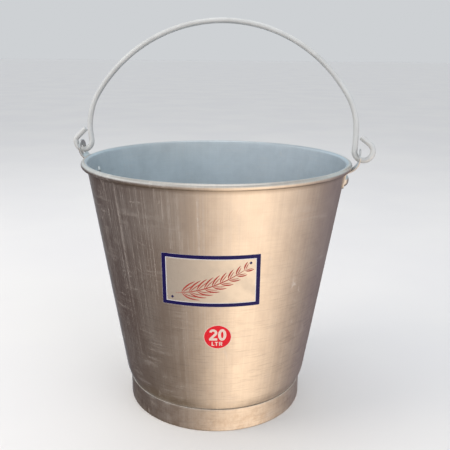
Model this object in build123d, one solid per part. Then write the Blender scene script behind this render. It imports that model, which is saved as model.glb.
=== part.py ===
from build123d import *
import math
import os

os.makedirs("parts", exist_ok=True)

# A 20 litre aluminium milk pail.  Millimetres, +Z up, base centre on the ground at the origin.
# The ears and the bail's axis lie along X, the label faces -Y.

# ---- pail body -------------------------------------------------------------------------------
pail_height = 333.0
sheet = 1.2
wall_slope = 0.1569            # radius gained per millimetre of height, outside of the wall
base_line_radius = 117.27      # the straight wall line carried down to the ground
corner_radius = 46.6           # outside of the rounded corner between wall and bottom
bottom_height = 10.0           # underside of the bottom above the ground
lip_radius = 4.05              # outside radius of the curled lip's round section
lip_wrap = 306.0               # degrees the sheet is wrapped round the wire
wire_clearance = 0.02

# ---- foot ring -------------------------------------------------------------------------------
ring_height = 31.3
ring_outer_radius = 119.33
ring_sheet = 1.2
ring_roll_radius = 2.2         # outside radius of the rolled lower edge
ring_worn_flat = 0.15          # depth worn flat where the rolled edge stands on the ground

# ---- ears and rivets -------------------------------------------------------------------------
ear_thickness = 2.0
ear_width = 23.0
ear_foot_bottom = 300.6        # height of the lower end of the strap
ear_foot_top = 319.0           # height where the strap leaves the wall
ear_top = 351.3
ear_out_bend = 3.5             # centre-line radius of the bend away from the wall
ear_up_bend = 17.0             # centre-line radius of the bend back to upright
ear_slant = 27.0               # degrees above level of the slanted middle part
ear_corner = 6.0               # rounding of the lower corners
pivot_height = 337.8
right_pivot_reach = 184.4      # distance of the strap's middle from the axis of the pail
left_pivot_reach = 188.3       # the left ear has been bent a little further out
ear_hole_radius = 5.7
pad_overlap = 0.8              # how deep the foot's wedge is let into the wall before it is cut
rivet_height = 310.6
rivet_shank_radius = 3.0
rivet_outer_head_radius = 8.0
rivet_outer_head_height = 4.5
rivet_inner_head_radius = 4.3
rivet_inner_head_height = 2.0

# ---- bail ------------------------------------------------------------------------------------
rod_radius = 3.6
bail_lean = 10.0               # degrees the bail leans back, towards +Y, as it stands
shank_reach = 177.7            # distance of the straight shank from the middle
shoulder_height = 35.8         # end of the straight shank above the pivot
shoulder_radius = 82.0
shoulder_turn = 31.0           # degrees turned by the shoulder, the crown arc turns the rest
hook_radius = 11.4
right_knee_radius = 80.0       # above each hook the shank is bent a little towards the axis
right_knee_turn = 3.0
right_knee_length = 6.0
right_hook_turn = 235.0
right_hook_tail = 14.4
left_knee_radius = 60.0
left_knee_turn = 10.0
left_knee_length = 11.0
left_hook_turn = 174.0         # the left hook was bent by hand to a sharp outer corner
left_hook_flat = 3.4
left_hook_corner_radius = 4.3
left_hook_corner_turn = 61.0
left_hook_tail = 18.2
rod_end_chamfer = 0.6

# ---- label and sticker -----------------------------------------------------------------------
film = 0.3
label_width = 113.4            # straight across, from one upright edge to the other
label_bottom = 182.2
label_top = 248.2
label_corner = 1.2
label_azimuth = -80.7          # degrees from +X, so 9.3 degrees to the right of straight ahead
sticker_radius = 16.5
sticker_height = 141.3
sticker_azimuth = -77.4

wall_lean = math.degrees(math.atan(wall_slope))


def wall_radius(z):
    """Outside radius of the straight part of the wall at height z."""
    return base_line_radius + wall_slope * z


def turned(angle, length=1.0):
    """A flat vector of this length at this many degrees."""
    return (length * math.cos(math.radians(angle)), length * math.sin(math.radians(angle)))


def walk(start, heading, moves):
    """Follow straight and curved moves from a start point, as (kind, point, heading, data) rows.

    A move is ("line", length) or ("arc", radius, turn), a positive turn being to the left.
    """
    rows = []
    x, z = start
    for move in moves:
        rows.append((move[0], (x, z), heading, move[1:]))
        if move[0] == "line":
            dx, dz = turned(heading, move[1])
            x, z = x + dx, z + dz
        else:
            radius, turn = move[1:]
            side = math.copysign(1.0, turn)
            cx, cz = turned(heading + 90.0 * side, radius)
            ex, ez = turned(heading - 90.0 * side + turn, radius)
            x, z = x + cx + ex, z + cz + ez
            heading += turn
    rows.append(("end", (x, z), heading, ()))
    return rows


def offset_edge(row, following, offset):
    """The edge that runs beside one move, offset millimetres to its left."""
    kind, (x, z), heading, data = row
    dx, dz = turned(heading + 90.0, offset)
    first = (x + dx, 0.0, z + dz)
    x2, z2 = following[1]
    dx, dz = turned(following[2] + 90.0, offset)
    last = (x2 + dx, 0.0, z2 + dz)
    if kind == "line":
        return Edge.make_line(first, last)
    radius, turn = data
    side = math.copysign(1.0, turn)
    cx, cz = turned(heading + 90.0 * side, radius)
    mx, mz = turned(heading - 90.0 * side + turn / 2.0, radius - offset * side)
    middle = (x + cx + mx, 0.0, z + cz + mz)
    return Edge.make_three_point_arc(first, middle, last)


def bent_sheet(start, heading, moves, thickness):
    """The cut face of a sheet of this thickness, its middle line following the moves."""
    rows = walk(start, heading, moves)
    half = thickness / 2.0
    left = [offset_edge(a, b, half) for a, b in zip(rows, rows[1:])]
    right = [offset_edge(a, b, -half) for a, b in zip(rows, rows[1:])]
    near = Edge.make_line(left[0] @ 0, right[0] @ 0)
    far = Edge.make_line(left[-1] @ 1, right[-1] @ 1)
    return Face(Wire(left + [far] + right + [near]))


def spun(face):
    """A face in the XZ plane turned once round the axis of the pail."""
    return revolve(face, Axis.Z, 360.0)


# ---- pail shell: bottom, rounded corner, wall and curled lip, one sheet ----------------------
corner_end_height = bottom_height + corner_radius * (1.0 - math.sin(math.radians(wall_lean)))
corner_centre_reach = (
    wall_radius(corner_end_height) - corner_radius * math.cos(math.radians(wall_lean))
)
lip_centre_height = pail_height - lip_radius
across_sheet = 1.0 / math.cos(math.radians(wall_lean))
lip_centre_reach = wall_radius(lip_centre_height) + (lip_radius - sheet) * across_sheet
lean_drop = math.sin(math.radians(wall_lean))
wall_start_height = bottom_height + corner_radius - (corner_radius - sheet / 2.0) * lean_drop
lip_start_height = lip_centre_height + (lip_radius - sheet / 2.0) * lean_drop
wall_length = (lip_start_height - wall_start_height) * across_sheet

shell_face = bent_sheet(
    (0.0, bottom_height + sheet / 2.0),
    0.0,
    [
        ("line", corner_centre_reach),
        ("arc", corner_radius - sheet / 2.0, 90.0 - wall_lean),
        ("line", wall_length),
        ("arc", lip_radius - sheet / 2.0, -lip_wrap),
    ],
    sheet,
)
pail_shell = spun(shell_face)

# ---- wire inside the curled lip --------------------------------------------------------------
wire_radius = lip_radius - sheet - wire_clearance
rim_wire = Pos(0, 0, lip_centre_height) * Torus(lip_centre_reach, wire_radius)

# ---- foot ring, its lower edge rolled inward -------------------------------------------------
ring_face = bent_sheet(
    (ring_outer_radius - ring_sheet / 2.0, ring_height),
    -90.0,
    [
        ("line", ring_height - ring_roll_radius + ring_worn_flat),
        ("arc", ring_roll_radius - ring_sheet / 2.0, -250.0),
    ],
    ring_sheet,
)
ground = Pos(0, 0, -5.0) * Cylinder(2.0 * ring_outer_radius, 10.0)
foot_ring = spun(ring_face) - ground


# ---- ears: a strap riveted to the wall, bent out under the lip and up beside it ---------------
def ear(pivot_reach):
    """The ear on the +X side, before its rivet hole is made and the wall is cut out of it."""
    slant = math.radians(ear_slant)
    foot_middle = ear_thickness / 2.0 * across_sheet
    foot_heading = 90.0 - wall_lean
    foot_length = (ear_foot_top - ear_foot_bottom) * across_sheet
    heading = math.radians(foot_heading)
    up_bend_reach = ear_up_bend * (1.0 - math.sin(slant))
    out_bend_reach = ear_out_bend * (math.sin(heading) - math.sin(slant))
    out_bend_rise = ear_out_bend * (math.cos(slant) - math.cos(heading))
    slant_start_reach = wall_radius(ear_foot_top) + foot_middle + out_bend_reach
    slant_length = (pivot_reach - up_bend_reach - slant_start_reach) / math.cos(slant)
    upright_start_height = (
        ear_foot_top
        + out_bend_rise
        + slant_length * math.sin(slant)
        + ear_up_bend * math.cos(slant)
    )
    strap_face = bent_sheet(
        (wall_radius(ear_foot_bottom) + foot_middle, ear_foot_bottom),
        foot_heading,
        [
            ("line", foot_length),
            ("arc", ear_out_bend, ear_slant - foot_heading),
            ("line", slant_length),
            ("arc", ear_up_bend, 90.0 - ear_slant),
            ("line", ear_top - upright_start_height),
        ],
        ear_thickness,
    )
    strap = extrude(strap_face, amount=ear_width / 2.0, dir=(0, 1, 0), both=True)

    # the foot is pressed onto the round wall, so a wedge fills up to the wall and is cut by it
    pad_face = bent_sheet(
        (wall_radius(ear_foot_bottom) + foot_middle / 2.0 - pad_overlap / 2.0, ear_foot_bottom),
        foot_heading,
        [("line", foot_length)],
        ear_thickness / 2.0 + pad_overlap,
    )
    pad = extrude(pad_face, amount=ear_width / 2.0, dir=(0, 1, 0), both=True)

    # outline seen from the side: round top, rounded lower corners
    shoulder = ear_top - ear_width / 2.0
    outline = (
        Plane.YZ
        * Pos(0, (ear_foot_bottom + shoulder) / 2.0)
        * Rectangle(ear_width, shoulder - ear_foot_bottom)
    )
    outline = fillet(outline.vertices().sort_by(Axis.Z)[:2], ear_corner)
    round_top = Plane.YZ * Pos(0, shoulder) * Circle(ear_width / 2.0)
    block_depth = 2.0 * pivot_reach
    outline_block = extrude(outline, amount=block_depth) + extrude(round_top, amount=block_depth)
    hole = Pos(pivot_reach, 0, pivot_height) * Rot(0, 90, 0) * Cylinder(ear_hole_radius, 30.0)
    return (strap + pad) & outline_block - hole


# the rivet stands square to the wall: its own +Z points outward from the wall's outer face
rivet_seat = Pos(wall_radius(rivet_height), 0, rivet_height) * Rot(0, 90.0 + wall_lean, 0)


def domed_head(radius, height):
    """A rivet head standing on its own XY plane: a cap cut from a ball."""
    ball_radius = (radius**2 + height**2) / (2.0 * height)
    ball = Pos(0, 0, height - ball_radius) * Sphere(ball_radius)
    above = Pos(0, 0, ball_radius) * Box(4 * ball_radius, 4 * ball_radius, 2 * ball_radius)
    return ball & above


rivet_hole = rivet_seat * Cylinder(rivet_shank_radius, 20.0)
outer_head = Pos(0, 0, ear_thickness) * domed_head(rivet_outer_head_radius, rivet_outer_head_height)
inner_head = Rot(180, 0, 0) * Pos(0, 0, sheet) * domed_head(
    rivet_inner_head_radius, rivet_inner_head_height
)
shank = Pos(0, 0, (ear_thickness - sheet) / 2.0) * Cylinder(
    rivet_shank_radius, ear_thickness + sheet + 0.2
)

shell_before_holes = pail_shell
ear_right = ear(right_pivot_reach) - shell_before_holes - rivet_hole
# under the inner head the wall is hollow towards the axis, so the head is trimmed by the wall
rivet_right = rivet_seat * (outer_head + shank)
rivet_right = rivet_right + (rivet_seat * inner_head - shell_before_holes)

half_turn = Rot(0, 0, 180)
ear_left = half_turn * (ear(left_pivot_reach) - shell_before_holes - rivet_hole)
rivet_left = half_turn * rivet_right
pail_shell = pail_shell - rivet_hole - half_turn * rivet_hole


# ---- bail: one rod, drawn in its own upright plane from the crown to each hook ---------------
def arc_and_line_path(rows, mirror):
    """The edges of a walked path in the XZ plane, mirrored left to right when asked."""
    edges = [offset_edge(a, b, 0.0) for a, b in zip(rows, rows[1:])]
    path = Wire(edges)
    return path.mirror(Plane.YZ) if mirror else path


crown_radius = shoulder_radius + (shank_reach - shoulder_radius) / math.cos(
    math.radians(shoulder_turn)
)
crown_height = (
    shoulder_height
    + (shoulder_radius - crown_radius) * math.sin(math.radians(shoulder_turn))
    + crown_radius
)


def arch_moves(pivot_reach, knee_radius, knee_turn, knee_length):
    """From the crown to the start of a hook that crosses the ear exactly at the pivot."""
    turn = math.radians(knee_turn)
    hook_start_reach = (
        shank_reach - knee_radius * (1.0 - math.cos(turn)) - knee_length * math.sin(turn)
    )
    past_ear = hook_start_reach + hook_radius * math.cos(turn) - pivot_reach
    hook_start_height = math.sqrt(hook_radius**2 - past_ear**2) + hook_radius * math.sin(turn)
    knee_start_height = (
        hook_start_height + knee_length * math.cos(turn) + knee_radius * math.sin(turn)
    )
    return [
        ("arc", crown_radius, shoulder_turn - 90.0),
        ("arc", shoulder_radius, -shoulder_turn),
        ("line", shoulder_height - knee_start_height),
        ("arc", knee_radius, -knee_turn),
        ("line", knee_length),
    ]


right_moves = arch_moves(
    right_pivot_reach, right_knee_radius, right_knee_turn, right_knee_length
) + [
    ("arc", hook_radius, right_hook_turn),
    ("line", right_hook_tail),
]
left_moves = arch_moves(
    left_pivot_reach, left_knee_radius, left_knee_turn, left_knee_length
) + [
    ("arc", hook_radius, left_hook_turn),
    ("line", left_hook_flat),
    ("arc", left_hook_corner_radius, left_hook_corner_turn),
    ("line", left_hook_tail),
]


def rod(moves, mirror):
    """Half of the bail: a round rod swept from the crown down to one hook's cut end."""
    rows = walk((0.0, crown_height), 0.0, moves)
    path = arc_and_line_path(rows, mirror)
    section = Plane(origin=(0, 0, crown_height), z_dir=(-1 if mirror else 1, 0, 0)) * Circle(rod_radius)
    swept = sweep(section, path=path)
    end = path @ 1
    rim = [e for e in swept.edges() if e.geom_type == GeomType.CIRCLE and (e.arc_center - end).length < 0.01]
    return chamfer(rim, rod_end_chamfer)


upright_bail = rod(right_moves, False) + rod(left_moves, True)
bail = Pos(0, 0, pivot_height) * Rot(-bail_lean, 0, 0) * upright_bail


# ---- label and sticker: film cut from a thin cone that lies on the wall ----------------------
def film_band(low, high):
    """A thin cone of film lying on the outside of the wall between two heights."""
    thick = film * across_sheet
    corners = [
        (wall_radius(low), 0, low),
        (wall_radius(low) + thick, 0, low),
        (wall_radius(high) + thick, 0, high),
        (wall_radius(high), 0, high),
    ]
    edges = [Edge.make_line(a, b) for a, b in zip(corners, corners[1:] + corners[:1])]
    return spun(Face(Wire(edges)))


film_reach = 2.0 * wall_radius(pail_height)
label_plan = RectangleRounded(label_width, label_top - label_bottom, label_corner)
label_cut = Plane.YZ * Pos(0, (label_bottom + label_top) / 2.0) * label_plan
front_label = film_band(label_bottom - 5.0, label_top + 5.0) & extrude(label_cut, amount=film_reach)
front_label = Rot(0, 0, label_azimuth) * front_label

sticker_cut = (
    Pos(wall_radius(sticker_height), 0, sticker_height)
    * Rot(0, 90.0 + wall_lean, 0)
    * Cylinder(sticker_radius, 20.0)
)
capacity_sticker = film_band(sticker_height - 25.0, sticker_height + 25.0) & sticker_cut
capacity_sticker = Rot(0, 0, sticker_azimuth) * capacity_sticker

pieces = {
    "pail_shell": pail_shell,
    "rim_wire": rim_wire,
    "foot_ring": foot_ring,
    "ear_left": ear_left,
    "ear_right": ear_right,
    "rivet_left": rivet_left,
    "rivet_right": rivet_right,
    "bail": bail,
    "front_label": front_label,
    "capacity_sticker": capacity_sticker,
}

for name, shape in pieces.items():
    solids = shape.solids()
    box = shape.bounding_box()
    print(
        f"{name:18s} solids {len(solids)} volume {shape.volume:12.1f} "
        f"x {box.min.X:8.2f} {box.max.X:8.2f} y {box.min.Y:8.2f} {box.max.Y:8.2f} "
        f"z {box.min.Z:8.2f} {box.max.Z:8.2f}"
    )
    export_step(Compound(children=solids) if len(solids) > 1 else solids[0], f"parts/{name}.step")
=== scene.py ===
import random
from math import asin, atan, ceil, copysign, cos, dist, exp, hypot, pi, radians, remainder, sin, sqrt, tau

import bpy
import numpy as np
from mathutils import Matrix, Vector, noise
from mathutils.geometry import delaunay_2d_cdt


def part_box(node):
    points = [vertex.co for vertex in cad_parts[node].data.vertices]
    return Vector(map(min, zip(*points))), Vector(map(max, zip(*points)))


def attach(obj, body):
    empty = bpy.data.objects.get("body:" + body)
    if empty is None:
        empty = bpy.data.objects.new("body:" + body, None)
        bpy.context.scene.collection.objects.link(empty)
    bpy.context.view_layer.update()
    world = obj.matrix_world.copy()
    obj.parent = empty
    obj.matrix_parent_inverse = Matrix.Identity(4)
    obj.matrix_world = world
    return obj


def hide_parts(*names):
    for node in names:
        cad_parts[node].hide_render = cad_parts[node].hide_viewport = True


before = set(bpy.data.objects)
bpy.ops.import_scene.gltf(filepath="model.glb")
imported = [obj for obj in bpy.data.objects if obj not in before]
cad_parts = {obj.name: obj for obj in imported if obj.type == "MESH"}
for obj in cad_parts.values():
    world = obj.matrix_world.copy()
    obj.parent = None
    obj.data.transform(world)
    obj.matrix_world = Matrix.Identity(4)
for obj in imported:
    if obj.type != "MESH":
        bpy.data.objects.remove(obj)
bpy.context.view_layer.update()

# A 20 litre aluminium milk pail.  Metres, +Z up, the pail's axis on Z, the bail's pivots along X.

# ---- sizes, from the frame and from the pail's driving dimensions ----
mm = 0.001

shell_low, shell_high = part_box("pail_shell")
_, ring_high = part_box("foot_ring")
ear_low, ear_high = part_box("ear_right")
left_ear_low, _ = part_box("ear_left")

pail_height = shell_high.z
bottom_height = shell_low.z
sheet = 1.2 * mm
wall_slope = 0.1569
wall_lean = atan(wall_slope)
base_line_radius = 117.27 * mm
corner_radius = 46.6 * mm
lip_radius = 4.05 * mm
lip_wrap = radians(306.0)
body_arc_step = radians(8.0)
turn_segments = 288
# painted shade under the lip: the dark line where the curl meets the wall deepens over the first pair of
# heights and ends over the second pair
lip_shade_start = (318.5 * mm, 325.0 * mm)
lip_shade_end = (325.8 * mm, 327.2 * mm)

ring_reach = ring_high.x
ring_height = ring_high.z
ring_sheet = 1.2 * mm
ring_roll_radius = 2.2 * mm
ring_roll_turn = radians(250.0)
ring_worn_flat = 0.15 * mm

ear_thickness = 2.0 * mm
ear_width = ear_high.y - ear_low.y
ear_foot_bottom = ear_low.z
ear_foot_top = 319.0 * mm
ear_top = ear_high.z
ear_out_bend = 3.5 * mm
ear_up_bend = 17.0 * mm
ear_slant = radians(27.0)
ear_corner = 6.0 * mm
ear_hole_radius = 5.7 * mm
pivot_height = 337.8 * mm
right_pivot_reach = ear_high.x - ear_thickness / 2.0
left_pivot_reach = -left_ear_low.x - ear_thickness / 2.0
rivet_height = 310.6 * mm
rivet_shank_radius = 3.0 * mm
outer_head_radius = 8.0 * mm
outer_head_height = 4.5 * mm
inner_head_radius = 4.3 * mm
inner_head_height = 2.0 * mm

rod_radius = 3.6 * mm
rod_end_chamfer = 0.6 * mm
rod_dent = 0.05 * mm
bail_lean = radians(10.0)
shank_reach = 177.7 * mm
shoulder_height = 35.8 * mm
shoulder_radius = 82.0 * mm
shoulder_turn = radians(31.0)
hook_radius = 11.4 * mm

label_width = 113.4 * mm
label_height = 66.0 * mm
label_middle = 215.2 * mm
label_azimuth = radians(-80.7)
sticker_radius = 16.5 * mm
sticker_middle = 141.3 * mm
sticker_azimuth = radians(-77.4)
sticker_edge = 0.55 * mm

# each printed layer's underside and top, as heights above the wall
film_layer = (0.0, 0.10 * mm)
white_layer = (0.06 * mm, 0.13 * mm)
blue_layer = (0.09 * mm, 0.17 * mm)
motif_layer = (0.09 * mm, 0.15 * mm)
disc_layer = (0.0, 0.12 * mm)
red_layer = (0.08 * mm, 0.16 * mm)
figure_layer = (0.13 * mm, 0.20 * mm)


def wall_radius(z):
    """Outside radius of the straight part of the wall at height z."""
    return base_line_radius + wall_slope * z


def smooth_step(value, low, high):
    """Rises smoothly from 0 at low to 1 at high."""
    share = min(1.0, max(0.0, (value - low) / (high - low)))
    return share * share * (3.0 - 2.0 * share)


# ---- dents: how far the wall stands out of true, the same for both faces of the sheet ----
dice = random.Random(20)
dings = [
    (
        dice.uniform(0.0, tau),
        dice.uniform(60.0, 300.0) * mm,
        dice.uniform(5.0, 13.0) * mm,
        dice.uniform(-0.30, 0.12) * mm,
    )
    for _ in range(26)
]


def wall_shift(azimuth, z):
    """Small dents and waves of the drawn wall, none near the lip and the foot ring."""
    fade = smooth_step(z, 0.048, 0.075) * (1.0 - smooth_step(z, 0.285, 0.318))
    if fade == 0.0:
        return 0.0
    x, y = cos(azimuth), sin(azimuth)
    wave = 0.16 * mm * noise.noise(Vector((2.6 * x + 3.1, 2.6 * y, 7.0 * z)))
    wave += 0.07 * mm * noise.noise(Vector((7.0 * x, 7.0 * y + 5.7, 16.0 * z)))
    radius = wall_radius(z)
    for ding_azimuth, ding_z, size, depth in dings:
        across = remainder(azimuth - ding_azimuth, tau) * radius
        square = (across * across + (z - ding_z) ** 2) / (size * size)
        if square < 6.0:
            wave += depth * exp(-square)
    return wave * fade


# ---- mesh helpers ----
def linked(name, data):
    """A new object in the scene."""
    made = bpy.data.objects.new(name, data)
    bpy.context.scene.collection.objects.link(made)
    return made


def mesh_object(name, points, faces, materials, face_materials=None):
    """A smooth shaded mesh piece from plain points and faces."""
    mesh = bpy.data.meshes.new(name)
    mesh.from_pydata([tuple(p) for p in points], [], faces)
    for material in materials:
        mesh.materials.append(material)
    if face_materials is not None:
        mesh.polygons.foreach_set("material_index", face_materials)
    mesh.polygons.foreach_set("use_smooth", [True] * len(mesh.polygons))
    mesh.validate()
    mesh.update()
    return linked(name, mesh)


def arc(centre, radius, start, turn, steps):
    """Points along an arc in a plane, angles in radians, a positive turn to the left."""
    return [
        (
            centre[0] + radius * cos(start + turn * i / steps),
            centre[1] + radius * sin(start + turn * i / steps),
        )
        for i in range(steps + 1)
    ]


def walk(start, heading, moves, step, arc_step):
    """Points and headings along straight and curved moves in a plane.

    A move is ("line", length) or ("arc", radius, turn), a positive turn being to the left.
    """
    x, z = start
    rows = [(x, z, heading)]
    for move in moves:
        if move[0] == "line":
            count = max(1, round(move[1] / step))
            for _ in range(count):
                x += move[1] / count * cos(heading)
                z += move[1] / count * sin(heading)
                rows.append((x, z, heading))
            continue
        radius, turn = move[1:]
        count = max(2, round(radius * abs(turn) / step), round(abs(turn) / arc_step))
        part = turn / count
        chord = 2.0 * radius * sin(abs(part) / 2.0)
        for _ in range(count):
            x += chord * cos(heading + part / 2.0)
            z += chord * sin(heading + part / 2.0)
            heading += part
            rows.append((x, z, heading))
    return rows


def rounded_end(first, last, heading):
    """Points round the cut end of a sheet, between its right face and its left face."""
    middle = [(a + b) / 2.0 for a, b in zip(first, last)]
    half = dist(first, last) / 2.0
    return arc(middle, half, heading - pi / 2.0, pi, 6)[1:-1]


def sheet_profile(rows, thickness, round_start):
    """The closed outline of a sheet whose middle line is the walked rows, right face first."""
    half = thickness / 2.0
    left = [(x - half * sin(h), z + half * cos(h)) for x, z, h in rows]
    right = [(x + half * sin(h), z - half * cos(h)) for x, z, h in rows]
    outline = right + rounded_end(right[-1], left[-1], rows[-1][2]) + left[::-1]
    if round_start:
        outline += rounded_end(left[0], right[0], rows[0][2] + pi)
    return outline


def spun(name, profile, segments, materials, material_of=lambda k: 0, shift=None):
    """A closed profile of (radius, height) points turned once round the axis.

    The profile runs anticlockwise, seen with the axis on its left.  Its points on the axis become
    one shared point each.  shift(azimuth, height) moves a point away from the axis.
    """
    points, rings = [], []
    for radius, height in profile:
        if radius < 1e-9:
            rings.append([len(points)] * segments)
            points.append((0.0, 0.0, height))
            continue
        rings.append(range(len(points), len(points) + segments))
        for i in range(segments):
            azimuth = tau * i / segments
            reach = radius + (shift(azimuth, height) if shift else 0.0)
            points.append((reach * cos(azimuth), reach * sin(azimuth), height))
    faces, face_materials = [], []
    for k in range(len(rings)):
        low, high = rings[k], rings[(k + 1) % len(rings)]
        if low[0] == low[1] and high[0] == high[1]:
            continue
        for i in range(segments):
            j = (i + 1) % segments
            corners = [low[i], low[j], high[j], high[i]]
            faces.append([c for n, c in enumerate(corners) if c not in corners[:n]])
            face_materials.append(material_of(k))
    return mesh_object(name, points, faces, materials, face_materials)


def offset_loop(loop, distance):
    """A closed flat loop moved to its left by this distance, with mitred corners."""
    moved = []
    count = len(loop)
    for i in range(count):
        before, here, after = loop[i - 1], loop[i], loop[(i + 1) % count]
        first = (Vector(here) - Vector(before)).normalized()
        second = (Vector(after) - Vector(here)).normalized()
        normal = Vector((-first.y - second.y, first.x + second.x))
        reach = 2.0 * distance / max(normal.length_squared, 0.3)
        moved.append((here[0] + reach * normal.x, here[1] + reach * normal.y))
    return moved


def edge_runs(loops):
    """The start points and runs of every edge of the closed loops."""
    pairs = np.array([(a, b) for loop in loops for a, b in zip(loop, loop[1:] + loop[:1])])
    return pairs[:, 0], pairs[:, 1] - pairs[:, 0]


def is_inside(runs, x, y):
    """Whether a point is inside the outlines and outside their holes, by the even-odd rule."""
    start, run = runs
    spans = (start[:, 1] > y) != (start[:, 1] + run[:, 1] > y)
    rise = np.where(spans, run[:, 1], 1.0)
    crossing = start[:, 0] + (y - start[:, 1]) * run[:, 0] / rise
    return (spans & (crossing > x)).sum() % 2 == 1


def edge_distance(runs, x, y):
    """How far a point is from the nearest edge."""
    start, run = runs
    share = ((np.array((x, y)) - start) * run).sum(1) / np.maximum((run**2).sum(1), 1e-18)
    nearest = start + np.clip(share, 0.0, 1.0)[:, None] * run
    return np.hypot(*(nearest - (x, y)).T).min()


def flat_cut(loops, spacing):
    """The flat area inside the loops as triangles, with a grid of points inside it.

    Returns (points, triangles).  The loops' own points come first, in order.
    """
    runs = edge_runs(loops)
    flat = [p for loop in loops for p in loop]
    low, high = np.array(flat).min(0), np.array(flat).max(0)
    for y in np.arange(low[1] + 0.37 * spacing, high[1], spacing):
        for x in np.arange(low[0] + 0.41 * spacing, high[0], spacing):
            if is_inside(runs, x, y) and edge_distance(runs, x, y) > 0.45 * spacing:
                flat.append((float(x), float(y)))
    edges, start = [], 0
    for loop in loops:
        edges += [(start + i, start + (i + 1) % len(loop)) for i in range(len(loop))]
        start += len(loop)
    in_mm = [Vector((x / mm, y / mm)) for x, y in flat]
    _, _, cut, sources, _, _ = delaunay_2d_cdt(in_mm, edges, [], 1, 1e-5)
    triangles = []
    for face in cut:
        corners = [sources[c][0] for c in face]
        x = sum(flat[c][0] for c in corners) / 3.0
        y = sum(flat[c][1] for c in corners) / 3.0
        if is_inside(runs, x, y):
            triangles.append(corners)
    return flat, triangles, edges


def plate(name, loops, rim, spacing, place, materials):
    """A closed plate bent onto a surface.

    loops are its flat outlines, the outer ones anticlockwise and the holes clockwise.  rim is its
    edge from the top to the bottom, as (inset, height) steps, the first and the last inset being
    equal.  place(u, v, height) gives a point in space.
    """
    capped = [offset_loop(loop, rim[0][0]) for loop in loops]
    flat, triangles, edges = flat_cut(capped, spacing)
    top = len(flat)
    points = [place(u, v, rim[0][1]) for u, v in flat]
    points += [place(u, v, rim[-1][1]) for u, v in flat]
    faces = list(triangles) + [[top + c for c in reversed(t)] for t in triangles]
    rim_count = len(edges)
    ring = list(range(rim_count))
    for inset, height in rim[1:-1]:
        following = list(range(len(points), len(points) + rim_count))
        points += [place(u, v, height) for loop in loops for u, v in offset_loop(loop, inset)]
        faces += [[ring[a], following[a], following[b], ring[b]] for a, b in edges]
        ring = following
    faces += [[ring[a], top + a, top + b, ring[b]] for a, b in edges]
    piece = mesh_object(name, points, faces, materials)
    piece.data.set_sharp_from_angle(angle=radians(40.0))
    return piece


def rounded_rim(thickness, rounding):
    """The edge steps of a plate whose two edges are rounded."""
    steps = [radians(30.0 * i) for i in range(4)]
    top = [
        (rounding * (1.0 - sin(a)), thickness - rounding * (1.0 - cos(a))) for a in steps
    ]
    return top + [(inset, thickness - height) for inset, height in reversed(top)]


def circle(centre, radius, count, hole=False):
    """A round loop, clockwise when it is a hole."""
    points = arc(centre, radius, 0.0, tau, count)[:-1]
    return points[::-1] if hole else points


def rectangle(width, height, corner, step, hole=False):
    """A rectangle round the origin with rounded corners and evenly divided sides."""
    x, y = width / 2.0 - corner, height / 2.0 - corner
    corners = [(x, -y, -0.25), (x, y, 0.0), (-x, y, 0.25), (-x, -y, 0.5)]
    points = []
    for i, (cx, cy, start) in enumerate(corners):
        turned = arc((cx, cy), corner, start * tau, tau / 4.0, 5)
        points += turned
        nx, ny, following = corners[(i + 1) % 4]
        target = arc((nx, ny), corner, following * tau, 0.0, 1)[0]
        count = max(1, round(dist(turned[-1], target) / step))
        points += [
            tuple(a + (b - a) * k / count for a, b in zip(turned[-1], target))
            for k in range(1, count)
        ]
    return points[::-1] if hole else points


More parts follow.
